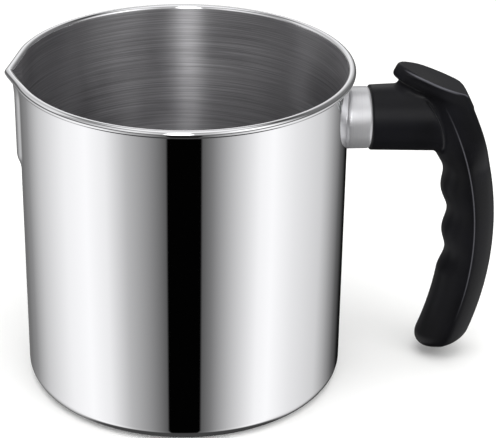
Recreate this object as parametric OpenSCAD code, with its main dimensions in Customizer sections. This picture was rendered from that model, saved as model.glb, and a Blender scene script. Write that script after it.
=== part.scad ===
// Candle melting pot: a drawn steel cup with a rolled rim and a pinched spout, and a moulded
// handle that one long screw draws against a ferrule on the cup's wall.
// +Z is up and the pot stands on z = 0. The handle is on +X and the spout is on -X.

/* [Cup] */
// Outside diameter of the wall
pot_d = 120; // [95:1:160]
// Height of the top of the rim above the table
pot_h = 124; // [100:1:170]
// Thickness of the steel sheet
sheet = 0.8; // [0.5:0.1:1.2]
// Outside radius of the corner between base and wall
base_corner_r = 5; // [2.5:0.5:9]
// Diameter of the rolled bead round the rim
bead_d = 3; // [2.2:0.1:4]
// How far the inner side of the bead is pressed flat against the line of the wall
bead_flat = 0.1; // [0.05:0.05:0.3]

/* [Spout] */
// How far the tip of the rim stands out past the round of the wall
spout_reach = 2.5; // [2:0.1:6]
// How far the ridge below the tip stands out past the round of the wall
ridge_proud = 1.5; // [0.8:0.1:1.9]
// Height of the flared lip, from the ridge up to the rim
lip_h = 11; // [6:0.5:18]
// Length of the straight ridge below the lip
ridge_h = 23; // [8:1:40]
// Height over which the foot of the ridge fades into the wall
fade_h = 6; // [3:0.5:15]

/* [Ferrule and bracket] */
// Depth of the handle arm's axis below the top of the rim
arm_drop = 23; // [19:0.5:35]
// Outside diameter of the ferrule
ferrule_d = 23; // [19:0.5:30]
// Thickness of the ferrule's sheet
ferrule_sheet = 0.8; // [0.5:0.1:1.2]
// Distance from the wall to the handle's end face
ferrule_len = 8.3; // [6.5:0.1:14]
// Radius of the turned-in corner at the ferrule's handle end
ferrule_corner_r = 1.2; // [0.9:0.1:2]
// Diameter of the hole in the ferrule's end face
ferrule_hole_d = 15; // [14:0.5:17]
// Diameter of the saddle plate that is spot welded to the wall
bracket_d = 19; // [15:0.5:20]
// Thickness of the saddle plate
bracket_t = 1.2; // [0.8:0.1:1.5]
// Diameter of the threaded boss on the plate
boss_d = 10; // [9:0.5:10.5]
// Distance across the two flats that stop the handle from turning
boss_flats = 8.4; // [7.6:0.1:8.8]
// Distance from the wall to the end of the boss
boss_reach = 14; // [11:0.5:18]

/* [Screw and washers] */
// Thread diameter of the handle screw
screw_d = 4; // [3.5:0.5:5]
// Pitch of the thread
pitch = 0.7; // [0.6:0.1:0.8]
// Length of the thread on the screw
thread_len = 16; // [12:0.5:20]
// Distance from the wall to the screw's tip
tip_gap = 4.3; // [3:0.1:6]
// Diameter of the screw's cheese head
head_d = 7; // [6.5:0.1:8]
// Height of the head
head_h = 2.8; // [2.4:0.1:3.6]
// Depth of the cross recess in the head
recess_depth = 1.6; // [1.2:0.1:2]
// Outside diameter of the flat washer
washer_d = 8; // [7:0.1:8.2]
// Thickness of the flat washer
washer_t = 0.8; // [0.5:0.1:1.2]
// Outside diameter of the split lock washer
lock_d = 7.6; // [6.8:0.1:8]
// Thickness of the split lock washer
lock_t = 1; // [0.7:0.1:1.4]
// Width of the slit in the lock washer
lock_slit = 0.8; // [0.5:0.1:1.3]

/* [Handle] */
// Diameter of the arm where it meets the ferrule
collar_d = 24.2; // [23:0.1:30]
// Diameter of the arm where it runs into the grip
arm_end_d = 25.6; // [23:0.1:30]
// Radius of the rounded shoulder at the end of the arm
shoulder_r = 8; // [3:0.5:10]
// How far the arm's end runs into the grip
arm_overlap = 6; // [4:0.5:10]
// Room for fingers between the wall and the grip at mid height
finger_room = 38.6; // [30:0.2:50]
// Depth of the grip from finger side to back
grip_depth = 19.8; // [16:0.2:24]
// Width of the grip at its widest
grip_width = 21; // [17:0.5:25]
// Width of the grip where it meets the thumb rest
grip_neck_width = 17.6; // [14:0.2:20]
// Squareness of the grip's section, as the power its oval is drawn with: 1 is an ellipse
grip_power = 0.88; // [0.75:0.01:1]
// The same where the grip meets the thumb rest, where the back is flatter
neck_power = 0.55; // [0.45:0.01:0.8]
// Height over which the grip narrows to that width
neck_h = 30; // [20:1:40]
// Radius of the bow that the grip follows
grip_bow_r = 125; // [100:1:180]
// Gap between the table and the foot of the grip
table_gap = 4; // [2:0.5:12]
// Radius of the rounding at the foot of the grip
foot_r = 7; // [4:0.5:9]
// Depth of each finger groove
groove_depth = 1.9; // [0:0.1:3]
// Spacing of the finger grooves
groove_pitch = 17.5; // [14:0.5:22]
// Number of finger grooves
groove_count = 3; // [0:1:3]
// Distance of the top groove below the arm's axis
groove_drop = 21; // [19:0.5:26]

/* [Thumb rest] */
// Height of the corner between thumb rest and grip back above the arm's axis
thumb_rise = 10.8; // [8:0.1:14]
// Slope of the thumb rest
thumb_slope = 23.2; // [15:0.1:27]
// Length of the thumb rest from that corner to its front edge
thumb_len = 27.5; // [22:0.5:30]
// Width of the thumb rest at its widest
thumb_width = 18.4; // [18:0.2:24]
// Length of the whole leaf outline that the thumb rest is cut from
leaf_len = 38; // [36:0.5:44]
// Distance of the widest place from the corner
leaf_mid = 11.4; // [8:0.1:13]
// Thickness of the thumb rest at its front edge
thumb_t = 7; // [4:0.5:9]

/* [Handle holes] */
// Depth of the screw's seat below the back of the grip
seat_depth = 11.6; // [9:0.2:14]
// Diameter of the hole that the head and washers sit in
head_hole_d = 8.4; // [8.3:0.1:10]
// Length of the spigot that centres the handle in the ferrule
spigot_len = 5; // [2:0.5:5]

/* [Clearances] */
// Gap all round the spigot in the ferrule's hole
spigot_play = 0.2; // [0.1:0.05:0.4]
// Gap all round the boss in its socket
boss_play = 0.2; // [0.1:0.05:0.4]
// Gap between the end of the boss and the floor of its socket
boss_end_gap = 0.5; // [0.2:0.1:1]
// Gap all round the screw in the handle and in the washers
screw_play = 0.3; // [0.1:0.05:0.4]
// Gap between the flanks of the two threads
thread_play = 0.05; // [0.02:0.01:0.08]

/* [Hidden] */
$fn = 72;
steel = [0.8, 0.8, 0.81];
satin_steel = [0.7, 0.7, 0.71];
zinc = [0.72, 0.73, 0.75];
phenolic = [0.11, 0.11, 0.12];
bite = 0.35; // how deep the flat faces of the spout run into the round wall

wall_r = pot_d / 2;
inner_r = wall_r - sheet;
bead_r = bead_d / 2;
bead_z = pot_h - bead_r;
bead_ring_r = inner_r + bead_r - bead_flat;
tip_angle = acos(wall_r / (wall_r + spout_reach));
ridge_angle = acos(wall_r / (wall_r + ridge_proud));
flare_z = pot_h - bead_d;
lip_z = pot_h - lip_h;
ridge_z = lip_z - ridge_h;
fade_z = ridge_z - fade_h;

arm_z = pot_h - arm_drop;
face_x = wall_r + ferrule_len;
spigot_x = face_x - spigot_len;
plate_r = wall_r + bracket_t;
boss_x = wall_r + boss_reach;
tip_x = wall_r + tip_gap;

grip_mid_z = (arm_z + table_gap) / 2;
grip_back_x = wall_r + finger_room + grip_depth;
thumb_z = arm_z + thumb_rise;
thumb_x = back_x(thumb_z);
arm_end_x = back_x(arm_z) - grip_depth + arm_overlap;
seat_x = back_x(arm_z) - seat_depth;
lock_x = seat_x + washer_t;
head_x = lock_x + lock_t;
screw_len = head_x - tip_x;

// Back of the grip at height z: an arc that bows away from the cup
function back_x(z) = grip_back_x - grip_bow_r + sqrt(grip_bow_r * grip_bow_r - pow(z - grip_mid_z, 2));

// Points of a quarter or part circle
function arc(cx, cy, r, from, to, steps) =
    [for (i = [0:steps]) let (a = from + (to - from) * i / steps) [cx + r * cos(a), cy + r * sin(a)]];

// Places what follows with its z axis along the handle arm, starting at x
module along_arm(x) {
    translate([x, 0, arm_z]) rotate([0, 90, 0]) children();
}

// ---- cup ----

// Solid of revolution with a rounded foot
module round_footed(r, floor_z, top_z, corner_r) {
    corner = arc(r - corner_r, floor_z + corner_r, corner_r, -90, 0, 8);
    rotate_extrude() polygon(concat([[0, floor_z]], corner, [[r, top_z], [0, top_z]]));
}

// Wedge between a sharp edge on -X and the round wall of radius r.
// Each level is [angle where its flat faces leave the wall, height]; foot is where it vanishes.
module spout_wedge(r, levels, foot) {
    buried = r - bite;
    rings = [for (l = levels) each [
        [-r / cos(l[0]), 0, l[1]],
        [-buried * cos(l[0]), -buried * sin(l[0]), l[1]],
        [-buried * cos(l[0]), buried * sin(l[0]), l[1]]
    ]];
    last = len(levels) - 1;
    sides = [for (i = [0:last - 1], k = [0:2]) let (a = 3 * i + k, b = 3 * i + (k + 1) % 3)
        each [[a, b, b + 3], [a, b + 3, a + 3]]];
    end = 3 * last;
    tip = 3 * (last + 1);
    closing = [for (k = [0:2]) [end + k, end + (k + 1) % 3, tip]];
    polyhedron(concat(rings, [[-buried, 0, foot]]), concat([[2, 1, 0]], sides, closing));
}

// Rolled bead: a ring as far as the spout, then two straight runs that meet in a mitre at its tip
module rim_bead() {
    run = bead_ring_r * tan(tip_angle) + bead_d;
    translate([0, 0, bead_z]) {
        rotate([0, 0, tip_angle - 180])
            rotate_extrude(angle = 360 - 2 * tip_angle) translate([bead_ring_r, 0]) circle(bead_r);
        for (side = [-1, 1]) intersection() {
            rotate([0, 0, side * tip_angle])
                translate([-bead_ring_r, 0, 0])
                    rotate([-side * 90, 0, 0]) cylinder(h = run, r = bead_r);
            translate([-2 * wall_r, side > 0 ? -wall_r : 0, -bead_d]) cube([2 * wall_r, wall_r, 2 * bead_d]);
        }
    }
}

module cup() {
    over = pot_h + 1;
    folds = [[tip_angle, flare_z], [ridge_angle, lip_z], [ridge_angle, ridge_z]];
    color(steel) difference() {
        union() {
            round_footed(wall_r, 0, bead_z, base_corner_r);
            spout_wedge(wall_r, concat([[tip_angle, bead_z]], folds), fade_z);
            rim_bead();
        }
        round_footed(inner_r, sheet, over, base_corner_r - sheet);
        spout_wedge(inner_r, concat([[tip_angle, over]], folds), fade_z);
    }
}

// ---- fixing on the wall ----

module saddle_plate() {
    color(satin_steel) difference() {
        intersection() {
            along_arm(0) cylinder(h = plate_r + 1, d = bracket_d);
            translate([0, 0, arm_z - bracket_d]) cylinder(h = 2 * bracket_d, r = plate_r);
        }
        translate([0, 0, arm_z - bracket_d - 1]) cylinder(h = 2 * bracket_d + 2, r = wall_r);
    }
}

// Rod with two flats, used for the boss and, a little larger, for its socket
module flatted_rod(x, h, d, flats) {
    along_arm(x) intersection() {
        cylinder(h = h, d = d);
        translate([-flats / 2, -d, 0]) cube([flats, 2 * d, h]);
    }
}

// Rod with thread-like ridges up to x, each a vee of the screw's pitch
module ridged_rod(x, length, grow) {
    root_r = screw_d / 2 - 0.61 * pitch + grow;
    crest_r = screw_d / 2 + grow;
    turns = floor(length / pitch);
    start = length - turns * pitch;
    flank = [for (i = [0:turns - 1]) each [[root_r, start + i * pitch], [crest_r, start + (i + 0.5) * pitch]]];
    along_arm(x) rotate_extrude()
        polygon(concat([[0, 0], [root_r, 0]], flank, [[root_r, length], [0, length]]));
}

module threaded_boss() {
    threaded = boss_x - tip_x;
    color(zinc) difference() {
        flatted_rod(wall_r, boss_reach, boss_d, boss_flats);
        translate([0, 0, arm_z - bracket_d]) cylinder(h = 2 * bracket_d, r = plate_r);
        ridged_rod(tip_x, threaded, thread_play);
        along_arm(plate_r + 0.6) cylinder(h = tip_x - plate_r - 0.6 + 0.01, r = screw_d / 2);
        along_arm(boss_x - 0.5) cylinder(h = 1, r1 = screw_d / 2 - 0.1, r2 = screw_d / 2 + 0.9);
    }
}

module ferrule() {
    outer_r = ferrule_d / 2;
    mouth_r = outer_r - ferrule_sheet;
    round_in = ferrule_corner_r - ferrule_sheet;
    root = wall_r - sqrt(wall_r * wall_r - outer_r * outer_r) + 1;
    length = ferrule_len + root;
    outside = concat(
        [[0, 0], [outer_r, 0]],
        arc(outer_r - ferrule_corner_r, length - ferrule_corner_r, ferrule_corner_r, 0, 90, 6),
        [[0, length]]
    );
    inside = concat(
        [[0, -1], [mouth_r, -1]],
        arc(mouth_r - round_in, length - ferrule_corner_r, round_in, 0, 90, 4),
        [[0, length - ferrule_sheet]]
    );
    color(steel) difference() {
        along_arm(face_x - length) difference() {
            rotate_extrude() polygon(outside);
            rotate_extrude() polygon(inside);
            cylinder(h = length + 1, d = ferrule_hole_d);
        }
        translate([0, 0, arm_z - ferrule_d]) cylinder(h = 2 * ferrule_d, r = wall_r);
    }
}

// ---- handle ----

// Depth that the finger grooves take from the finger side at height z
function groove_at(z) =
    let (low = arm_z - groove_drop - (groove_count - 0.5) * groove_pitch,
         high = arm_z - groove_drop + groove_pitch / 2)
    z < low || z > high ? 0
    : groove_depth * (1 + cos(360 * (z - arm_z + groove_drop) / groove_pitch)) / 2;

// How much a level near the foot is drawn in, from 0 at the very end to 1 above the rounding
function foot_share(z) =
    let (up = min(1, max(0, (z - table_gap) / foot_r)))
    sqrt(1 - (1 - up) * (1 - up));

// One level of the grip: a rounded oval between the finger side and the back
function grip_ring(z, count) =
    let (back = back_x(z),
         front = back - grip_depth + groove_at(z),
         share = foot_share(z),
         half_depth = (back - front) / 2 - foot_r * (1 - share),
         neck = min(1, max(0, (z - thumb_z + neck_h) / neck_h)),
         width = grip_width - (grip_width - grip_neck_width) * neck * neck * (3 - 2 * neck),
         half_width = width / 2 - foot_r * (1 - share),
         power = grip_power + (neck_power - grip_power) * neck * neck,
         mid = (back + front) / 2)
    [for (i = [0:count - 1]) let (a = 360 * i / count, c = cos(a), s = sin(a))
        [mid + half_depth * sign(c) * pow(abs(c), power), half_width * sign(s) * pow(abs(s), power), z]];

module grip() {
    count = 28;
    foot_steps = 5;
    steps = 44;
    top = thumb_z - 1;
    low = table_gap + foot_r;
    levels = concat(
        [for (i = [0:foot_steps - 1]) table_gap + foot_r * (1 - cos(90 * i / foot_steps))],
        [for (i = [0:steps]) low + (top - low) * i / steps]
    );
    last = len(levels) - 1;
    points = [for (z = levels) each grip_ring(z, count)];
    sides = [for (i = [0:last - 1], k = [0:count - 1])
        let (a = i * count + k, b = i * count + (k + 1) % count)
        each [[a, b + count, b], [a, a + count, b + count]]];
    floor_face = [for (k = [0:count - 1]) k];
    top_face = [for (k = [0:count - 1]) last * count + count - 1 - k];
    polyhedron(points, concat([floor_face, top_face], sides));
}

// Leaf between two arcs, with its length along x and one end at the grip's corner
module leaf(width) {
    r = (leaf_len * leaf_len / 4 + width * width / 4) / width;
    translate([-leaf_mid, 0]) intersection() {
        translate([0, r - width / 2]) circle(r, $fn = 96);
        translate([0, width / 2 - r]) circle(r, $fn = 96);
        translate([leaf_mid - thumb_len, -width]) square([thumb_len, 2 * width]);
    }
}

module thumb_rest() {
    web_r = arm_end_d / 2 - 4;
    hull() {
        translate([thumb_x, 0, thumb_z]) rotate([0, thumb_slope, 0]) {
            translate([0, 0, -1.5]) linear_extrude(1.5) leaf(thumb_width);
            translate([0, 0, -thumb_t]) linear_extrude(1) leaf(thumb_width - 3);
        }
        along_arm(thumb_x - 18) cylinder(h = 16, r = web_r, $fn = 32);
    }
}

module arm() {
    length = arm_end_x - face_x;
    bevel = 1;
    end_r = arm_end_d / 2;
    along_arm(face_x) rotate_extrude() polygon(concat(
        [[0, 0], [collar_d / 2 - bevel / 2, 0], [collar_d / 2, bevel]],
        arc(end_r - shoulder_r, length - shoulder_r, shoulder_r, 0, 90, 8),
        [[0, length]]
    ));
}

module handle() {
    socket_len = boss_x + boss_end_gap - spigot_x;
    back_out = grip_depth + thumb_len;
    color(phenolic) difference() {
        union() {
            arm();
            along_arm(spigot_x) cylinder(h = spigot_len, r = ferrule_hole_d / 2 - spigot_play);
            grip();
            thumb_rest();
        }
        flatted_rod(spigot_x - 1, socket_len + 1, boss_d + 2 * boss_play, boss_flats + 2 * boss_play);
        along_arm(spigot_x) cylinder(h = seat_x - spigot_x + 1, r = screw_d / 2 + screw_play);
        along_arm(seat_x) cylinder(h = back_out, d = head_hole_d);
    }
}

// ---- screw and washers ----

module flat_washer() {
    color(zinc) along_arm(seat_x) difference() {
        cylinder(h = washer_t, d = washer_d);
        translate([0, 0, -1]) cylinder(h = washer_t + 2, r = screw_d / 2 + screw_play);
    }
}

module lock_washer() {
    color(zinc) along_arm(lock_x) difference() {
        cylinder(h = lock_t, d = lock_d);
        translate([0, 0, -1]) cylinder(h = lock_t + 2, r = screw_d / 2 + screw_play);
        rotate([20, 0, 0]) translate([0, -lock_slit / 2, -lock_t]) cube([lock_d, lock_slit, 3 * lock_t]);
    }
}

module handle_screw() {
    head_r = head_d / 2;
    round_r = head_h * 0.3;
    head = concat(
        [[0, 0], [head_r, 0]],
        arc(head_r - round_r, head_h - round_r, round_r, 0, 90, 6),
        [[0, head_h]]
    );
    slot_w = head_d / 6;
    slot_l = head_d * 0.55;
    color(zinc) difference() {
        union() {
            ridged_rod(tip_x, thread_len, 0);
            along_arm(tip_x + thread_len) cylinder(h = screw_len - thread_len + 0.01, d = screw_d);
            along_arm(head_x) rotate_extrude() polygon(head);
        }
        along_arm(head_x + head_h - recess_depth) for (turn = [0, 90])
            rotate([0, 0, turn])
                translate([-slot_l / 2, -slot_w / 2, 0]) cube([slot_l, slot_w, recess_depth + 1]);
    }
}

cup();
saddle_plate();
threaded_boss();
ferrule();
handle();
flat_washer();
lock_washer();
handle_screw();
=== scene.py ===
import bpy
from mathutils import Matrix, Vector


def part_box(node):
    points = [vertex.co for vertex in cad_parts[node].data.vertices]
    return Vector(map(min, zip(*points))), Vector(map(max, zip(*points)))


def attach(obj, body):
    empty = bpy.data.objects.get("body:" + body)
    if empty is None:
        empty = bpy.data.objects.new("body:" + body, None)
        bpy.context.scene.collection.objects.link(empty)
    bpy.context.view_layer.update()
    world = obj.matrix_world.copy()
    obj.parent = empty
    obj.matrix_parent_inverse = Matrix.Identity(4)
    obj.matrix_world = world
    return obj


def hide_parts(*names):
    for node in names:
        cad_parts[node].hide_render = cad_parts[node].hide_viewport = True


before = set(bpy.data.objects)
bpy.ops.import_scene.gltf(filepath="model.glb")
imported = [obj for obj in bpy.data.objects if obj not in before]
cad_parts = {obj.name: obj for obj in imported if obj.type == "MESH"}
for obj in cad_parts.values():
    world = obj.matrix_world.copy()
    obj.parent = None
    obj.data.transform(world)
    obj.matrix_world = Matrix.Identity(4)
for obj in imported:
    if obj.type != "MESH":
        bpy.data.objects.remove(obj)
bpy.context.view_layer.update()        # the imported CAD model, in metres, which everything below is fitted round

import math
from functools import partial

import bpy
import numpy as np
from mathutils import Matrix, Vector

mm = 0.001
scene = bpy.context.scene
scene.view_settings.view_transform = "Standard"  # so that white card stays white

beadOut = 2.1 * mm  # how far the rim's bead stands outside the wall
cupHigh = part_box("cup")[1]
ferruleLow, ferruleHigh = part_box("ferrule")
handleLow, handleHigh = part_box("handle")
wallR = cupHigh.y - beadOut
rimZ = cupHigh.z
armZ = (ferruleLow.z + ferruleHigh.z) / 2  # height of the arm's axis
faceX = ferruleHigh.x  # where the handle's end face meets the ferrule


cameraSet = dict(aim=(0.0241, 0, 0.0599), heading=-5.14, elevation=26.79, distance=0.6848, lens=131.4,
                 sensor=36, roll=0.96)


def makeCamera(s):
    heading = math.radians(s["heading"])
    elevation = math.radians(s["elevation"])
    flat = math.cos(elevation)
    back = Vector((math.sin(heading) * flat, -math.cos(heading) * flat, math.sin(elevation)))
    camera = bpy.data.objects.new("camera", bpy.data.cameras.new("camera"))
    scene.collection.objects.link(camera)
    camera.data.lens = s["lens"]
    camera.data.sensor_width = s["sensor"]
    camera.location = Vector(s["aim"]) + back * s["distance"]
    level = (-back).to_track_quat("-Z", "Y").to_matrix().to_4x4()
    roll = Matrix.Rotation(math.radians(s["roll"]), 4, "Z")
    camera.rotation_mode = "QUATERNION"
    camera.rotation_quaternion = (level @ roll).to_quaternion()
    scene.camera = camera
    print("camera ready")


makeCamera(cameraSet)


def setSockets(tree, node, sockets):  # a node given as a value stands for its first output
    for key, value in sockets.items():
        if isinstance(value, bpy.types.Node):
            value = value.outputs[0]
        if isinstance(value, bpy.types.NodeSocket):
            tree.links.new(value, node.inputs[key])
        else:
            node.inputs[key].default_value = value


def addNode(tree, kind, *values, **settings):  # a kind in capitals, such as ADD, is a Math node's operation
    if kind.isupper():
        settings["operation"] = kind
        kind = "ShaderNodeMath"
    node = tree.nodes.new(kind)
    for key, value in settings.items():
        setattr(node, key, value)
    named = values and isinstance(values[0], dict)
    setSockets(tree, node, values[0] if named else dict(enumerate(values)))
    return node


def linear(hexColour):
    parts = [int(hexColour[i:i + 2], 16) / 255 for i in (1, 3, 5)]
    return [p / 12.92 if p <= 0.04045 else ((p + 0.055) / 1.055) ** 2.4 for p in parts] + [1]


def meshObject(name, points, faces, smooth=True):
    mesh = bpy.data.meshes.new(name)
    mesh.from_pydata([tuple(p) for p in points], [], [tuple(f) for f in faces])
    mesh.update()
    piece = bpy.data.objects.new(name, mesh)
    scene.collection.objects.link(piece)
    if smooth:
        mesh.shade_smooth()
    return piece


def arcPoints(cx, cy, radius, start, stop, steps):
    angles = np.radians(np.linspace(start, stop, steps + 1))
    return [(cx + radius * math.cos(a), cy + radius * math.sin(a)) for a in angles]


def startMaterial(name):
    material = bpy.data.materials.new(name)
    material.use_nodes = True
    tree = material.node_tree
    add = partial(addNode, tree)
    finish = partial(setSockets, tree, tree.nodes["Principled BSDF"])
    return material, add, finish, add("ShaderNodeTexCoord").outputs["Object"]


# In every material, sizes are in mm and roughness runs from the smoothest spots to the dullest.
polishedSet = dict(colour="#eeeef0", roughness=(0.021, 0.045), grain=0.7, along=33.33)


def makePolishedSteel(s):  # 304 stainless, buffed on a wheel: a mirror with faint round buffing haze
    material, add, finish, place = startMaterial("polishedStainless")
    along = 1 / (s["along"] * mm)
    buff = add("ShaderNodeMapping", {"Vector": place, "Scale": (along, along, 1 / (s["grain"] * mm))})
    haze = add("ShaderNodeTexNoise", {"Vector": buff, "Scale": 1, "Detail": 3})
    rough = add("ShaderNodeMapRange", {"Value": haze, "From Min": 0.3, "From Max": 0.8,
                                       "To Min": s["roughness"][0], "To Max": s["roughness"][1]})
    finish({"Base Color": linear(s["colour"]), "Metallic": 1, "Roughness": rough})
    return material


brushedSet = dict(colour="#dddcde", dark="#a3a2a5", roughness=(0.288, 0.468), line=0.42, along=45, patch=22.2,
                  relief=0.01, strength=0.08, stretch=0.92)  # lines are drawn coarser than the real grit's


def makeBrushedSteel(s):  # inside, ground with a belt as the cup turned: fine rings round the wall and floor
    material, add, finish, place = startMaterial("ringBrushedStainless")
    height = add("ShaderNodeSeparateXYZ", {"Vector": place}).outputs["Z"]
    flat = add("ShaderNodeVectorMath", place, (1, 1, 0), operation="MULTIPLY")
    out = add("ShaderNodeVectorMath", flat, operation="LENGTH").outputs["Value"]
    across = add("MULTIPLY", add("SUBTRACT", height, out), 1 / (s["line"] * mm))
    around = add("ShaderNodeVectorMath", {0: flat, "Scale": 1 / (s["along"] * mm)}, operation="SCALE")
    ring = add("ShaderNodeSeparateXYZ", {"Vector": around}).outputs
    grain = add("ShaderNodeCombineXYZ", {"X": ring["X"], "Y": ring["Y"], "Z": across})
    lines = add("ShaderNodeTexNoise", {"Vector": grain, "Scale": 1, "Detail": 6, "Roughness": 0.7})
    patches = add("ShaderNodeTexNoise", {"Vector": place, "Scale": 1 / (s["patch"] * mm), "Detail": 2})
    shade = add("ShaderNodeMapRange", {"Value": lines, "From Min": 0.3, "From Max": 0.7})
    colour = add("ShaderNodeMix", {0: shade, 6: linear(s["dark"]), 7: linear(s["colour"])}, data_type="RGBA")
    rough = add("ShaderNodeMapRange", {"Value": add("ADD", lines, patches), "From Min": 0.6, "From Max": 1.4,
                                       "To Min": s["roughness"][0], "To Max": s["roughness"][1]})
    bump = add("ShaderNodeBump", {"Height": lines, "Strength": s["strength"], "Distance": s["relief"] * mm})
    tangent = add("ShaderNodeTangent", direction_type="RADIAL", axis="Z")
    finish({"Base Color": colour.outputs[2], "Metallic": 1, "Roughness": rough, "Normal": bump,
            "Tangent": tangent, "Anisotropic": s["stretch"],
            "Anisotropic Rotation": 0.25})  # a quarter turn, so that the glint runs across the rings
    return material


satinSet = dict(colour="#dededf", dark="#c6c6ca", roughness=(0.288, 0.468), line=0.12, along=16.67,
                metal=0.75)


def makeSatinSteel(s):  # pressed stainless sleeve, finished with fine paper as it turned on its own axis
    material, add, finish, place = startMaterial("satinStainless")
    along = 1 / (s["along"] * mm)
    turn = add("ShaderNodeMapping", {"Vector": place, "Scale": (1 / (s["line"] * mm), along, along)})
    lines = add("ShaderNodeTexNoise", {"Vector": turn, "Scale": 1, "Detail": 4})
    colour = add("ShaderNodeMix", {0: lines, 6: linear(s["dark"]), 7: linear(s["colour"])}, data_type="RGBA")
    rough = add("ShaderNodeMapRange", {"Value": lines, "To Min": s["roughness"][0],
                                       "To Max": s["roughness"][1]})
    finish({"Base Color": colour.outputs[2], "Metallic": s["metal"], "Roughness": rough})
    return material


# The moulding, in mm. The grip is bowed about a circle of bowR through its back, the arm runs along x at the
# height of the ferrule, and the thumb rest is a leaf-shaped slab whose flat top slopes down to the back.
handleSet = dict(bowR=125, bowMid=52.5, bowEnds=90, depth=19.8, crease=9.2, creaseSoft=3.2,
                 halfWidth=10.5, neckHalf=8.3, neckFrom=83, neckTo=112, swell=1.02, backEdge=0.4,
                 squareness=2.2, neckSquareness=5.5, squareFrom=81, squareTo=97, frontSquareness=2.1,
                 grooves=(80, 62.5, 45), groovePitch=17.5, grooveDepth=1.9,
                 footTilt=0.11, footFrom=94, footZ=4, footR=6,
                 collarR=12.1, armR=12.9, armTo=94, armRound=0.6,
                 shoulder=(78, 92, 17.2, 24, 1.8), shoulderR=0.5,  # where it starts, its lengths, its power
                 facetTop=(77.5, 122.9), facetSlope=23.2, leafHalf=9, leafAt=11.4, leafR=25, leafLen=28.8,
                 noseR=4.6, endR=30, slabDeep=5.4, slabRound=2.4, draft=-0.1,
                 topEdge=0.35, noseTop=2.5, noseFrom=16, noseTo=27.8,
                 waistIn=2.4, waistLen=24.9, waistDeep=12, waistRound=(3, 2), joinArm=2.2, joinSlab=1.6,
                 spigotR=7.5, spigotLap=2, socketSpare=0.5, socketEdge=0.1, mouthEdge=0.25,
                 seatR=4.2, seatEdge=0.4, screwR=2.3, play=0.2, step=0.45, margin=1.75)


# The pale colour below is painted along the mould line and the thumb rest's edge as a highlight; line and edge
# give the widths of these painted highlights, in mm.
phenolicSet = dict(colour="#08080b", paleTintAndPaintedHighlight="#0e0e13", paintedHighlight="#5e5e64", roughness=(0.352, 0.448),
                   peel=1.6, speck=0.3, cloud=16.67, relief=0.05, peelStrength=0.3, speckStrength=0.5,
                   ior=1.5, gloss=0.2,
                   line=0.35, lineHighlight=0.75, lineFoot=(18, 40), lineHead=(108, 90),
                   edge=0.5, edgeHighlight=0.8, edgeDeep=(0.4, 0.9))


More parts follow.
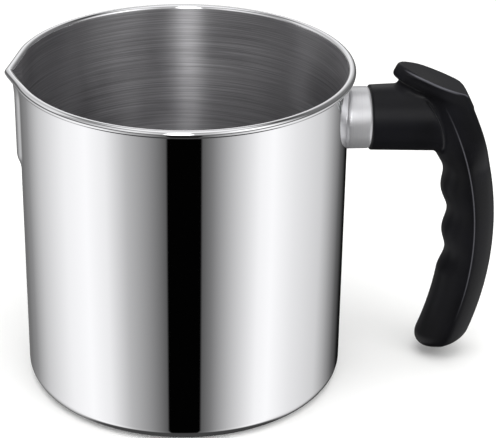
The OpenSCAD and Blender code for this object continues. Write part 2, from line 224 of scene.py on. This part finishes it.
def makePhenolic(s):  # bakelite, compression moulded: satin black, with painted highlights that make its edges and mould line paler
    material, add, finish, place = startMaterial("mouldedPhenolic")
    peel = add("ShaderNodeTexNoise", {"Vector": place, "Scale": 1 / (s["peel"] * mm), "Detail": 2})
    speck = add("ShaderNodeTexNoise", {"Vector": place, "Scale": 1 / (s["speck"] * mm), "Detail": 3})
    cloud = add("ShaderNodeTexNoise", {"Vector": place, "Scale": 1 / (s["cloud"] * mm), "Detail": 2})
    tint = add("ShaderNodeMapRange", {"Value": cloud, "From Min": 0.35, "From Max": 0.7})
    plain = add("ShaderNodeMix", {0: tint, 6: linear(s["colour"]), 7: linear(s["paleTintAndPaintedHighlight"])}, data_type="RGBA")
    split = add("ShaderNodeSeparateXYZ", {"Vector": place}).outputs
    h = handleSet

    # A painted highlight follows the mould line along the crease of the grip and fades out at the foot and at the
    # neck.
    bowCentre = (handleHigh.x - h["bowR"] * mm, 0, h["bowMid"] * mm)
    bow = add("ShaderNodeVectorMath", place, bowCentre, operation="SUBTRACT")
    flat = add("ShaderNodeVectorMath", bow, (1, 0, 1), operation="MULTIPLY")
    out = add("ShaderNodeVectorMath", flat, operation="LENGTH").outputs["Value"]
    off = add("ABSOLUTE", add("SUBTRACT", out, (h["bowR"] - h["crease"]) * mm))
    near = add("ShaderNodeMapRange", {"Value": off, "From Max": s["line"] * mm,
                                      "To Min": s["lineHighlight"], "To Max": 0})
    foot, head = [add("ShaderNodeMapRange", {"Value": split["Z"], "From Min": start * mm,
                                             "From Max": stop * mm})
                  for start, stop in (s["lineFoot"], s["lineHead"])]
    mould = add("MULTIPLY", near, add("MULTIPLY", foot, head))

    # A painted highlight makes the edge of the thumb rest paler where its flat top meets its round side.
    tilt = math.radians(h["facetSlope"])
    topX, topZ = h["facetTop"]
    offset = add("ShaderNodeVectorMath", place, (topX * mm, 0, topZ * mm), operation="SUBTRACT")
    behind, above = [add("ShaderNodeVectorMath", offset, way, operation="DOT_PRODUCT").outputs["Value"]
                     for way in ((math.cos(tilt), 0, -math.sin(tilt)), (math.sin(tilt), 0, math.cos(tilt)))]
    ahead = add("SUBTRACT", (h["leafLen"] - h["leafAt"]) * mm, behind)
    beside = add("ADD", add("ABSOLUTE", split["Y"]), (h["leafR"] - h["leafHalf"]) * mm)
    squares = add("ADD", add("POWER", ahead, 2), add("POWER", beside, 2))
    rim = add("ABSOLUTE", add("SUBTRACT", add("SQRT", squares), h["leafR"] * mm))
    nearRim = add("ShaderNodeMapRange", {"Value": rim, "From Max": s["edge"] * mm,
                                         "To Min": s["edgeHighlight"], "To Max": 0})
    start, stop = s["edgeDeep"]
    atTop = add("ShaderNodeMapRange", {"Value": add("ABSOLUTE", above), "From Min": start * mm,
                                       "From Max": stop * mm, "To Min": 1, "To Max": 0})
    # The painted highlights of the mould line and the thumb rest's edge, which turn the colour pale below.
    paleTintAndPaintedHighlight = add("MAXIMUM", mould, add("MULTIPLY", nearRim, atTop))
    colour = add("ShaderNodeMix", {0: paleTintAndPaintedHighlight, 6: plain.outputs[2], 7: linear(s["paintedHighlight"])}, data_type="RGBA")

    rough = add("ShaderNodeMapRange", {"Value": cloud, "From Min": 0.3, "From Max": 0.7,
                                       "To Min": s["roughness"][0], "To Max": s["roughness"][1]})
    fine = add("ShaderNodeBump", {"Height": speck, "Strength": s["speckStrength"],
                                  "Distance": s["relief"] * mm})
    bump = add("ShaderNodeBump", {"Height": peel, "Strength": s["peelStrength"],
                                  "Distance": s["relief"] * mm, "Normal": fine})
    finish({"Base Color": colour.outputs[2], "Roughness": rough, "Normal": bump, "IOR": s["ior"],
            "Specular IOR Level": s["gloss"]})
    return material


zincSet = dict(colour="#b9bcc2", tint="#a7a8a2", roughness=(0.224, 0.448), cloud=1.43)


def makeZinc(s):  # bright zinc plate on steel: grey with a faint cloudy straw tint
    material, add, finish, place = startMaterial("zincPlatedSteel")
    cloud = add("ShaderNodeTexNoise", {"Vector": place, "Scale": 1 / (s["cloud"] * mm), "Detail": 4})
    colour = add("ShaderNodeMix", {0: cloud, 6: linear(s["colour"]), 7: linear(s["tint"])}, data_type="RGBA")
    rough = add("ShaderNodeMapRange", {"Value": cloud, "To Min": s["roughness"][0],
                                       "To Max": s["roughness"][1]})
    finish({"Base Color": colour.outputs[2], "Metallic": 1, "Roughness": rough})
    return material


polished = makePolishedSteel(polishedSet)
brushed = makeBrushedSteel(brushedSet)
satin = makeSatinSteel(satinSet)
phenolic = makePhenolic(phenolicSet)
zinc = makeZinc(zincSet)
print("materials ready")


# The cup. Angles are in degrees, but for dipWidth, which is in radians either side of the tip. The brushed
# inside starts brushFrom points of the section past the top of the rim.
cupSet = dict(sheet=0.8 * mm, cornerR=5 * mm, beadR=1.5 * mm, curlEnd=-112,
              tipReach=2.5 * mm, tipDip=1.3 * mm, dipWidth=0.36, lipCurve=0.8, lipH=11 * mm, foldAngle=0.7,
              ridgeProud=1.5 * mm, ridgeH=23 * mm, fadeH=6 * mm, footWidth=0.3, ridgeCross=6.4,
              ridgeSpread=7.9, segments=320, crowding=0.78, baseRings=(0.35, 0.7), rowStep=1.3 * mm,
              rowsBelow=2 * mm, rowGap=0.4 * mm, edgeRound=0.15 * mm, cornerSteps=10, curlSteps=(18, 26),
              brushFrom=7)


def cupOutline(s):  # section of the sheet: base, wall, round the rolled rim and back down inside
    t, beadR, corner = s["sheet"], s["beadR"], s["cornerR"]
    curlR, curlZ = wallR - t + beadR, rimZ - beadR
    foldLow = rimZ - s["lipH"] - s["ridgeH"] - s["fadeH"] - s["rowsBelow"]
    rows = list(np.arange(foldLow, curlZ - s["rowGap"], s["rowStep"]))
    rings = [share * wallR for share in s["baseRings"]]
    out = [(0, 0)] + [(r, 0) for r in rings]
    out += arcPoints(wallR - corner, corner, corner, -90, 0, s["cornerSteps"])
    out += [(wallR, z) for z in rows]
    out += arcPoints(curlR, curlZ, beadR - t, 180, s["curlEnd"], s["curlSteps"][0])
    lipX, lipY = out[-1]
    end = arcPoints(curlR, curlZ, beadR, s["curlEnd"], 180, s["curlSteps"][1])
    middle = Vector(((lipX + end[0][0]) / 2, (lipY + end[0][1]) / 2))
    away = math.radians(s["curlEnd"] - 90)  # rounds the sheet's cut edge
    out += [(middle.x + math.cos(away) * s["edgeRound"], middle.y + math.sin(away) * s["edgeRound"])]
    out += end
    out += [(wallR - t, z) for z in reversed(rows)]
    out += list(reversed(arcPoints(wallR - corner, corner, corner - t, -90, 0, s["cornerSteps"])))
    out += [(r, t) for r in reversed(rings)] + [(0, t)]
    return out


def addInputs(tree, inputs):
    for name, (kind, value) in inputs.items():
        socket = tree.interface.new_socket(name, in_out="INPUT", socket_type=kind)
        if value is not None:
            socket.default_value = value
    tree.interface.new_socket("Geometry", in_out="OUTPUT", socket_type="NodeSocketGeometry")
    return addNode(tree, "NodeGroupInput").outputs


def cupTree():  # turns the section about z and pinches the spout out of it
    tree = bpy.data.node_groups.new("spunAndPinchedCup", "GeometryNodeTree")
    add = partial(addNode, tree)
    size, count, coat = "NodeSocketFloat", "NodeSocketInt", "NodeSocketMaterial"
    given = addInputs(tree, {
        "Geometry": ("NodeSocketGeometry", None), "Segments": (count, 320), "Section Points": (count, 10),
        "Crowding": (size, 0.0), "Wall Radius": (size, 0.06), "Tip Reach": (size, 0.0),
        "Tip Dip": (size, 0.0), "Dip Width": (size, 0.36), "Lip Curve": (size, 0.8),
        "Ridge Proud": (size, 0.001), "Lip Top": (size, 0.1), "Ridge Top": (size, 0.1),
        "Ridge Foot": (size, 0.1), "Fade Foot": (size, 0.1), "Foot Width": (size, 0.3),
        "Fold Angle": (size, 0.01), "Ridge Cross": (size, 0.1), "Ridge Spread": (size, 0.2),
        "Inside From": (count, 0), "Outside": (coat, None), "Inside": (coat, None)})

    # A grid with one column of points for each turn of the section.
    columns = add("ADD", given["Segments"], 1)
    grid = add("GeometryNodeMeshGrid", {"Vertices X": columns, "Vertices Y": given["Section Points"]})
    index = add("GeometryNodeInputIndex")
    column = add("FLOOR", add("DIVIDE", add("ADD", index, 0.5), given["Section Points"]))
    along = add("SUBTRACT", index, add("MULTIPLY", column, given["Section Points"]))
    sample = add("GeometryNodeSampleIndex", {"Geometry": given["Geometry"], "Index": along},
                 data_type="FLOAT_VECTOR", domain="POINT")
    setSockets(tree, sample, {"Value": add("GeometryNodeInputPosition")})
    section = add("ShaderNodeSeparateXYZ", {"Vector": sample}).outputs
    radius, height = section["X"], section["Z"]

    # Columns stand closer together at the spout, where the angle is nought.
    turn = add("DIVIDE", add("MULTIPLY", column, math.tau), given["Segments"])
    angle = add("SUBTRACT", turn, add("MULTIPLY", given["Crowding"], add("SINE", turn)))
    wrapped = add("ARCTAN2", add("SINE", angle), add("COSINE", angle))
    away = add("SQRT", add("ADD", add("MULTIPLY", wrapped, wrapped), add("POWER", given["Fold Angle"], 2)))

    # The lip is drawn out along tangents to the wall that meet at the tip.
    flare = add("ShaderNodeMapRange", {"Value": height, "From Min": given["Ridge Top"],
                                       "From Max": given["Lip Top"]})
    drawn = add("POWER", flare, given["Lip Curve"])
    tipR = add("MULTIPLY_ADD", drawn, given["Tip Reach"], given["Wall Radius"])
    fold = add("ARCCOSINE", add("DIVIDE", given["Wall Radius"], tipR))
    left = add("MAXIMUM", add("SUBTRACT", fold, away), 0)

    # Below it a shallow ridge with a hollow on each side runs down the wall, and its foot closes in a vee.
    rise = add("ShaderNodeMapRange", {"Value": height, "From Min": given["Fade Foot"],
                                      "From Max": given["Ridge Foot"], "To Max": given["Ridge Proud"]},
               interpolation_type="SMOOTHSTEP")
    closing = add("MULTIPLY_ADD", add("DIVIDE", rise, given["Ridge Proud"]),
                  add("SUBTRACT", 1, given["Foot Width"]), given["Foot Width"])
    across = add("DIVIDE", wrapped, closing)
    wave = add("SUBTRACT", 1, add("POWER", add("DIVIDE", across, given["Ridge Cross"]), 2))
    spread = add("DIVIDE", across, given["Ridge Spread"])
    fall = add("EXPONENT", add("MULTIPLY", add("POWER", add("MULTIPLY", spread, spread), 4), -1))
    proud = add("MULTIPLY", rise, add("SUBTRACT", 1, drawn))
    ridge = add("MULTIPLY", proud, add("MULTIPLY", wave, fall))
    pinched = add("ADD", add("DIVIDE", radius, add("COSINE", left)), ridge)

    # The rim dips towards the tip.
    near = add("ShaderNodeMapRange", {"Value": add("ABSOLUTE", wrapped), "From Max": given["Dip Width"],
                                      "To Min": 1, "To Max": 0}, interpolation_type="SMOOTHSTEP")
    dip = add("MULTIPLY", add("MULTIPLY", given["Tip Dip"], near), add("POWER", flare, 2))
    place = add("ShaderNodeCombineXYZ", {
        "X": add("MULTIPLY", add("MULTIPLY", pinched, add("COSINE", wrapped)), -1),
        "Y": add("MULTIPLY", pinched, add("SINE", wrapped)), "Z": add("SUBTRACT", height, dip)})

    inner = add("GREATER_THAN", along, add("SUBTRACT", given["Inside From"], 0.5))
    kept = add("GeometryNodeCaptureAttribute", {"Geometry": grid}, domain="POINT")
    kept.capture_items.new("FLOAT", "inner")
    setSockets(tree, kept, {"inner": inner})
    moved = add("GeometryNodeSetPosition", {"Geometry": kept, "Position": place})
    merged = add("GeometryNodeMergeByDistance", {"Geometry": moved, "Distance": 1e-6})
    smooth = add("GeometryNodeSetShadeSmooth", {"Geometry": merged})
    solid = add("GeometryNodeRealizeInstances", {"Geometry": smooth})
    outside = add("GeometryNodeSetMaterial", {"Geometry": solid, "Material": given["Outside"]})
    faceInside = add("GREATER_THAN", kept.outputs["inner"], 0.9)  # every corner of the face is inside
    inside = add("GeometryNodeSetMaterial", {"Geometry": outside, "Selection": faceInside,
                                             "Material": given["Inside"]})
    add("NodeGroupOutput", {"Geometry": inside})
    return tree


def bakeNodes(name, source, tree, values):  # runs the tree and keeps the result as a plain mesh
    modifier = source.modifiers.new("nodes", "NODES")
    modifier.node_group = tree
    sockets = {item.name: item.identifier for item in tree.interface.items_tree
               if item.item_type == "SOCKET" and item.in_out == "INPUT"}
    for key, value in values.items():
        modifier[sockets[key]] = value
    source.update_tag()
    evaluated = source.evaluated_get(bpy.context.evaluated_depsgraph_get())
    mesh = bpy.data.meshes.new_from_object(evaluated)
    mesh.name = name
    source.modifiers.clear()
    bpy.data.objects.remove(source)
    piece = bpy.data.objects.new(name, mesh)
    scene.collection.objects.link(piece)
    return piece


def makeCup(s):
    outline = cupOutline(s)
    source = meshObject("cupSection", [(x, 0, z) for x, z in outline], [])
    ridgeTop = rimZ - s["lipH"]
    ridgeFoot = ridgeTop - s["ridgeH"]
    rimTop = max(range(len(outline)), key=lambda i: outline[i][1])
    cup = bakeNodes("cupShell", source, cupTree(), {
        "Segments": s["segments"], "Section Points": len(outline), "Crowding": s["crowding"],
        "Wall Radius": wallR, "Tip Reach": s["tipReach"], "Tip Dip": s["tipDip"],
        "Dip Width": s["dipWidth"], "Lip Curve": s["lipCurve"], "Ridge Proud": s["ridgeProud"],
        "Lip Top": rimZ - s["beadR"], "Ridge Top": ridgeTop, "Ridge Foot": ridgeFoot,
        "Fade Foot": ridgeFoot - s["fadeH"], "Foot Width": s["footWidth"],
        "Fold Angle": math.radians(s["foldAngle"]), "Ridge Cross": math.radians(s["ridgeCross"]),
        "Ridge Spread": math.radians(s["ridgeSpread"]), "Inside From": rimTop + s["brushFrom"],
        "Outside": polished, "Inside": brushed})
    print("cup", len(cup.data.polygons), "faces")
    return cup


cup = makeCup(cupSet)
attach(cup, "root")
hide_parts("cup")


def grow(low, high, margin, step):  # sampling planes over a box and a margin round it
    return [np.arange(a - margin, b + margin + step, step) for a, b in zip(low, high)]


# A closed mesh of the zero level of shape(x, y, z), with one point in each cell that the surface crosses.
def surfaceNet(shape, axes, reach=0.02, rounds=4, farthest=0.3, leastSlope=0.2):
    grid = np.meshgrid(*axes, indexing="ij")
    level = shape(*grid)
    inside = level < 0
    corners = [(i, j, k) for i in (0, 1) for j in (0, 1) for k in (0, 1)]
    size = [n - 1 for n in level.shape]

    def part(values, corner):
        return values[tuple(slice(c, c + n) for c, n in zip(corner, size))]

    held = sum(part(inside, c).astype(int) for c in corners)
    crossed = (held > 0) & (held < 8)
    number = np.full(crossed.shape, -1)
    number[crossed] = np.arange(crossed.sum())
    total = np.zeros((crossed.sum(), 3))
    count = np.zeros(crossed.sum())
    for a in corners:
        for b in corners:
            if sum(abs(p - q) for p, q in zip(a, b)) != 1 or a > b:
                continue
            va, vb = part(level, a)[crossed], part(level, b)[crossed]
            hit = (va < 0) != (vb < 0)
            share = np.where(hit, va / np.where(hit, va - vb, 1), 0)[:, None]
            pa = np.stack([part(g, a)[crossed] for g in grid], 1)
            pb = np.stack([part(g, b)[crossed] for g in grid], 1)
            total += np.where(hit[:, None], pa + (pb - pa) * share, 0)
            count += hit
    points = total / count[:, None]

    faces = []
    for axis in range(3):
        u, v = [(1, 2), (2, 0), (0, 1)][axis]
        lower = [slice(1, -1)] * 3
        lower[axis] = slice(0, -1)
        upper = list(lower)
        upper[axis] = slice(1, None)
        here, there = inside[tuple(lower)], inside[tuple(upper)]
        for starts, flip in ((here & ~there, False), (~here & there, True)):
            spot = np.argwhere(starts)
            spot += [0 if i == axis else 1 for i in range(3)]
            ring = []
            for du, dv in ((0, 0), (-1, 0), (-1, -1), (0, -1)):
                cell = spot.copy()
                cell[:, u] += du
                cell[:, v] += dv
                ring.append(number[cell[:, 0], cell[:, 1], cell[:, 2]])
            quads = np.stack(ring, 1)
            faces.append(quads[:, ::-1] if flip else quads)
    faces = np.concatenate(faces)

    for _ in range(rounds):  # moves each point onto the surface
        normal = np.stack([(shape(*(points + d).T) - shape(*(points - d).T)) / (2 * reach)
                           for d in np.eye(3) * reach], 1)
        away = shape(*points.T) / np.maximum((normal ** 2).sum(1), leastSlope)
        points = points - normal * np.clip(away, -farthest, farthest)[:, None]
    return points, faces


def blend(a, b, width):  # union with a fillet about width across
    share = np.clip(0.5 + 0.5 * (b - a) / width, 0, 1)
    return b + (a - b) * share - width * share * (1 - share)


def cut(a, b, radius):  # what is in both, with the edge between them rounded
    deep = np.minimum(np.maximum(a, b), -radius)
    return deep + np.hypot(np.maximum(a + radius, 0), np.maximum(b + radius, 0))


def oval(p, q, a, b, power):  # distance to a superellipse, near enough for a mesh
    u, v = np.abs(p) / a + 1e-6, np.abs(q) / b + 1e-6
    k = (u ** power + v ** power) ** (1 / power)
    return (k - 1) / (k ** (1 - power) * np.hypot(u ** (power - 1) / a, v ** (power - 1) / b))


def smoothStep(value, start, stop):
    share = np.clip((value - start) / (stop - start), 0, 1)
    return share * share * (3 - 2 * share)


def handleShape(s):  # distance to the moulding's surface in mm, built up the way the mould cavity is cut
    arm = armZ / mm
    face = faceX / mm
    back = handleHigh.x / mm - s["bowR"]
    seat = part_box("flat_washer")[0].x / mm
    bossLow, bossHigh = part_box("threaded_boss")
    bossY = (bossHigh.y - bossLow.y) / 2 / mm
    bossZ = (bossHigh.z - bossLow.z) / 2 / mm
    spigotLow = handleLow.x / mm
    tilt = math.radians(s["facetSlope"])

    def shape(x, y, z):
        y = np.abs(y)
        bow = np.sqrt(s["bowR"] ** 2 - np.clip(z - s["bowMid"], -s["bowEnds"], s["bowEnds"]) ** 2)
        backX = back + bow
        pitch = s["groovePitch"]
        groove = sum(np.where(abs(z - g) < pitch / 2, 0.5 + 0.5 * np.cos((z - g) * math.tau / pitch), 0)
                     for g in s["grooves"])
        frontX = backX - s["depth"] + s["grooveDepth"] * groove
        half = s["halfWidth"] + (s["neckHalf"] - s["halfWidth"]) * smoothStep(z, s["neckFrom"], s["neckTo"])
        half = half * s["swell"]
        mid = backX - s["crease"]
        soft = s["creaseSoft"]
        squarer = (s["neckSquareness"] - s["squareness"]) * smoothStep(z, s["squareFrom"], s["squareTo"])
        rear = oval(x - mid + soft, y, s["crease"] + soft, half, s["squareness"] + squarer)
        front = oval(x - mid - soft, y, mid - frontX + soft, half, s["frontSquareness"])
        grip = cut(rear, front, s["backEdge"])
        foot = s["footZ"] + s["footTilt"] * np.maximum(x - s["footFrom"], 0) - z
        grip = cut(grip, foot, s["footR"])

        away = np.hypot(y, z - arm)
        width = s["collarR"] + (s["armR"] - s["collarR"]) * np.clip((x - face) / (s["armTo"] - face), 0, 1)
        rod = cut(away - width, face - x, s["armRound"])
        sx, sz, lx, lz, power = s["shoulder"]
        over = (np.maximum(x - sx, 0) / lx) ** power + (np.maximum(z - sz, 0) / lz) ** power
        rod = cut(rod, (over ** (1 / power) - 1) * lx, s["shoulderR"])
        body = blend(grip, rod, s["joinArm"])

        dx, dz = x - s["facetTop"][0], z - s["facetTop"][1]
        along = s["leafLen"] - (dx * math.cos(tilt) - dz * math.sin(tilt))
        under = -(dx * math.sin(tilt) + dz * math.cos(tilt))
        leaf = np.hypot(along - s["leafAt"], y + s["leafR"] - s["leafHalf"]) - s["leafR"]
        leaf = cut(leaf, along - s["leafLen"], s["noseR"]) + s["draft"] * np.maximum(under, 0)
        waist = cut(leaf + s["waistIn"], along - s["waistLen"], s["waistRound"][0])
        waist = cut(waist, under - s["waistDeep"], s["waistRound"][1])
        slab = blend(cut(leaf, under - s["slabDeep"], s["slabRound"]), waist, s["joinSlab"])
        end = np.hypot(x - back, z - s["bowMid"]) - s["bowR"] + y * y / s["endR"] / 2
        slab = cut(slab, end, s["backEdge"])
        body = blend(body, slab, s["joinSlab"])
        edge = s["topEdge"] + (s["noseTop"] - s["topEdge"]) * smoothStep(along, s["noseFrom"], s["noseTo"])
        body = cut(body, -under, edge)

        spigotEnds = np.maximum(spigotLow - x, x - face - s["spigotLap"])
        body = np.minimum(body, np.maximum(away - (s["spigotR"] - s["play"]), spigotEnds))
        socket = cut(away - (bossY + s["play"]), y * 0 + abs(z - arm) - (bossZ + s["play"]), s["socketEdge"])
        socket = np.maximum(socket, x - bossHigh.x / mm - s["socketSpare"])
        body = cut(body, -socket, s["mouthEdge"])
        body = cut(body, s["screwR"] - away, s["mouthEdge"])
        return cut(body, -np.maximum(away - s["seatR"], seat - x), s["seatEdge"])

    return shape


def makeHandle(s):
    low, high = handleLow / mm, handleHigh / mm
    points, faces = surfaceNet(handleShape(s), grow(low, high, s["margin"], s["step"]))
    handle = meshObject("handleMoulding", points * mm, faces)
    handle.data.materials.append(phenolic)
    print("handle", len(faces), "faces")
    return handle


handle = makeHandle(handleSet)
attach(handle, "root")
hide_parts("handle")
handle.visible_glossy = False  # so that the polished wall mirrors the panels alone


ferruleSet = dict(sheet=0.8, cornerR=1.2, holeR=7.5, lipR=0.15, insideGap=1.5, steps=144, cornerSteps=(8, 5),
                  lipSteps=3)


def makeFerrule(s):  # pressed sleeve, its wall end cut to the round of the cup and its far end turned in
    wall, outer, arm, face = wallR / mm, (ferruleHigh.y - ferruleLow.y) / 2 / mm, armZ / mm, faceX / mm
    t, corner, lip = s["sheet"], s["cornerR"], s["lipR"]
    lipY = s["holeR"] + lip
    outside = [(None, outer), (None, outer)]  # None is where the sleeve meets the round wall
    outside += arcPoints(face - corner, outer - corner, corner, 90, 0, s["cornerSteps"][0])
    outside += [(face, lipY)]
    outside += arcPoints(face - lip, lipY, lip, 0, -90, s["lipSteps"])[1:]
    outside += arcPoints(face - t + lip, lipY, lip, -90, -180, s["lipSteps"])
    inside = arcPoints(face - corner, outer - corner, corner - t, 0, 90, s["cornerSteps"][1])
    profile = outside + inside + [(None, outer - t), (None, outer - t)]
    points, faces = [], []
    last = len(profile)
    for i in range(s["steps"]):
        turn = math.tau * i / s["steps"]
        for k, (x, r) in enumerate(profile):
            y = r * math.sin(turn)
            root = math.sqrt(wall * wall - y * y)
            if x is None:
                x = root if k in (0, last - 1) else root + s["insideGap"]
            points.append((x, y, arm + r * math.cos(turn)))
        for k in range(last):
            a, b = i * last + k, i * last + (k + 1) % last
            c, d = ((i + 1) % s["steps"]) * last + (k + 1) % last, ((i + 1) % s["steps"]) * last + k
            faces.append((a, d, c, b))
    ferrule = meshObject("ferruleSleeve", np.array(points) * mm, faces)
    ferrule.data.materials.append(satin)
    print("ferrule", len(faces), "faces")
    return ferrule


ferrule = makeFerrule(ferruleSet)
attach(ferrule, "root")
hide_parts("ferrule")


for node, (material, slotName) in {
        "saddle_plate": (satin, "steel_bracket"), "threaded_boss": (zinc, "zinc_hardware"),
        "flat_washer": (zinc, "zinc_hardware"), "lock_washer": (zinc, "zinc_hardware"),
        "handle_screw": (zinc, "zinc_hardware")}.items():
    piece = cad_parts[node]
    piece.data.materials.clear()
    piece.data.materials.append(material)
print("hidden hardware keeps its CAD form")


# What shiny pieces mirror. Each "From" pair is the elevation, in degrees, over which a zone fades in above
# the one before it. Bands and sides run round the pot, in degrees from where the camera stands.
worldSet = dict(card=1.0, fill=0.85, panels=1.17, under=0.05, level=0.12, key=1.15, high=0.42, top=0.9,
                bandsFrom=(-62, -50), levelFrom=(-15, -10), keyFrom=(6, 14), highFrom=(42, 54),
                topFrom=(58, 70),
                bands=((-180, "#101010"), (-172, "#6a6a6a"), (-157, "#6c6c6c"), (-141, "#888888"),
                       (-120, "#c5c5c5"), (-91, "#f0f0f0"), (-72, "#fbfbfb"), (-56, "#ebebeb"),
                       (-40, "#b5b5b5"), (-26, "#909090"), (-12.2, "#565656"), (-11.6, "#020202"),
                       (11.6, "#020202"), (12.2, "#565656"), (19, "#767676"), (35, "#bfbfbf"),
                       (54, "#f3f3f3"), (64, "#fbfbfb"), (84, "#e5e5e5"), (112, "#cccccc"),
                       (130, "#929292"), (143, "#5c5c5c"), (158, "#161616"), (180, "#0a0a0a")),
                sides=((-180, 0.75), (-140, 0.4), (-97, 0.7), (-83, 0.3), (-35, 0.75), (-14, 0.45),
                       (-8, 3.6), (1, 3.6), (7, 0.45), (18, 0.45), (45, 1.15), (60, 0.85), (89, 0.12),
                       (140, 0.15), (180, 0.75)))


def fillRamp(ramp, stops):
    elements = ramp.color_ramp.elements
    while len(elements) > 1:
        elements.remove(elements[-1])
    for i, (degrees, colour) in enumerate(stops):
        stop = elements[0] if i == 0 else elements.new(degrees / 360 + 0.5)
        stop.position = degrees / 360 + 0.5
        stop.color = linear(colour) if isinstance(colour, str) else (colour, colour, colour, 1)
    return ramp


def makeWorld(s):  # white card to the camera, soft white to matt things, studio panels to shiny ones
    world = bpy.data.worlds.new("studio")
    scene.world = world
    world.use_nodes = True
    tree = world.node_tree
    tree.nodes.clear()
    add = partial(addNode, tree)

    def pick(share, first, second):
        return add("ADD", add("MULTIPLY", add("SUBTRACT", 1, share), first), add("MULTIPLY", share, second))

    way = add("ShaderNodeTexCoord").outputs["Generated"]
    heading = math.atan2(scene.camera.location.x, -scene.camera.location.y)
    turned = add("ShaderNodeVectorRotate", {"Vector": way, "Angle": math.pi / 2 - heading},
                 rotation_type="Z_AXIS")
    split = add("ShaderNodeSeparateXYZ", {"Vector": turned}).outputs
    around = add("MULTIPLY_ADD", add("ARCTAN2", split["Y"], split["X"]), 1 / math.tau, 0.5)
    rise = add("MULTIPLY", add("ARCSINE", split["Z"]), 180 / math.pi)
    bands, sides = [fillRamp(add("ShaderNodeValToRGB", {"Fac": around}), s[name])
                    for name in ("bands", "sides")]

    panels = s["under"]
    zones = {"bandsFrom": bands, "levelFrom": s["level"], "keyFrom": add("MULTIPLY", sides, s["key"]),
             "highFrom": add("MULTIPLY", sides, s["high"]), "topFrom": s["top"]}
    for name, shade in zones.items():
        start, stop = s[name]
        share = add("ShaderNodeMapRange", {"Value": rise, "From Min": start, "From Max": stop},
                    interpolation_type="SMOOTHSTEP")
        panels = pick(share, panels, shade)
    path = add("ShaderNodeLightPath").outputs
    soft = pick(path["Is Glossy Ray"], s["fill"], add("MULTIPLY", panels, s["panels"]))
    strength = pick(path["Is Camera Ray"], soft, s["card"])
    light = add("ShaderNodeBackground", {"Color": (1, 1, 1, 1), "Strength": strength})
    add("ShaderNodeOutputWorld", {"Surface": light})


lampSet = dict(top=dict(place=(-0.05, -0.12, 0.8), aim=(0, 0, 0.06), size=0.8, power=5),
               side=dict(place=(0.6, -0.5, 0.6), aim=(0.05, 0, 0.06), size=0.6, power=2))


def makeLamps(lamps):  # soft boxes, for the matt pieces and the floor
    for name, s in lamps.items():
        lamp = bpy.data.objects.new(name + "Lamp", bpy.data.lights.new(name + "Lamp", "AREA"))
        scene.collection.objects.link(lamp)
        lamp.data.size = s["size"]
        lamp.data.energy = s["power"]
        lamp.location = s["place"]
        lamp.visible_glossy = False  # shiny pieces mirror the panels instead
        lamp.rotation_mode = "QUATERNION"
        lamp.rotation_quaternion = (Vector(s["aim"]) - Vector(s["place"])).to_track_quat("-Z", "Y")


floorSet = dict(half=3, colour="#f4f4f3", roughness=0.9, gloss=0.1)


def makeFloor(s):  # uncoated white card: pale and quite matt, so only the soft shadows show on it
    spots = [(x, y, 0) for x in (-s["half"], s["half"]) for y in (-s["half"], s["half"])]
    floor = meshObject("paleFloor", spots, [(0, 2, 3, 1)], smooth=False)
    material, _, finish, _ = startMaterial("matteCard")
    finish({"Base Color": linear(s["colour"]), "Roughness": s["roughness"], "Specular IOR Level": s["gloss"]})
    floor.data.materials.append(material)
    floor.visible_glossy = False
    print("studio ready")


makeWorld(worldSet)
makeLamps(lampSet)
makeFloor(floorSet)
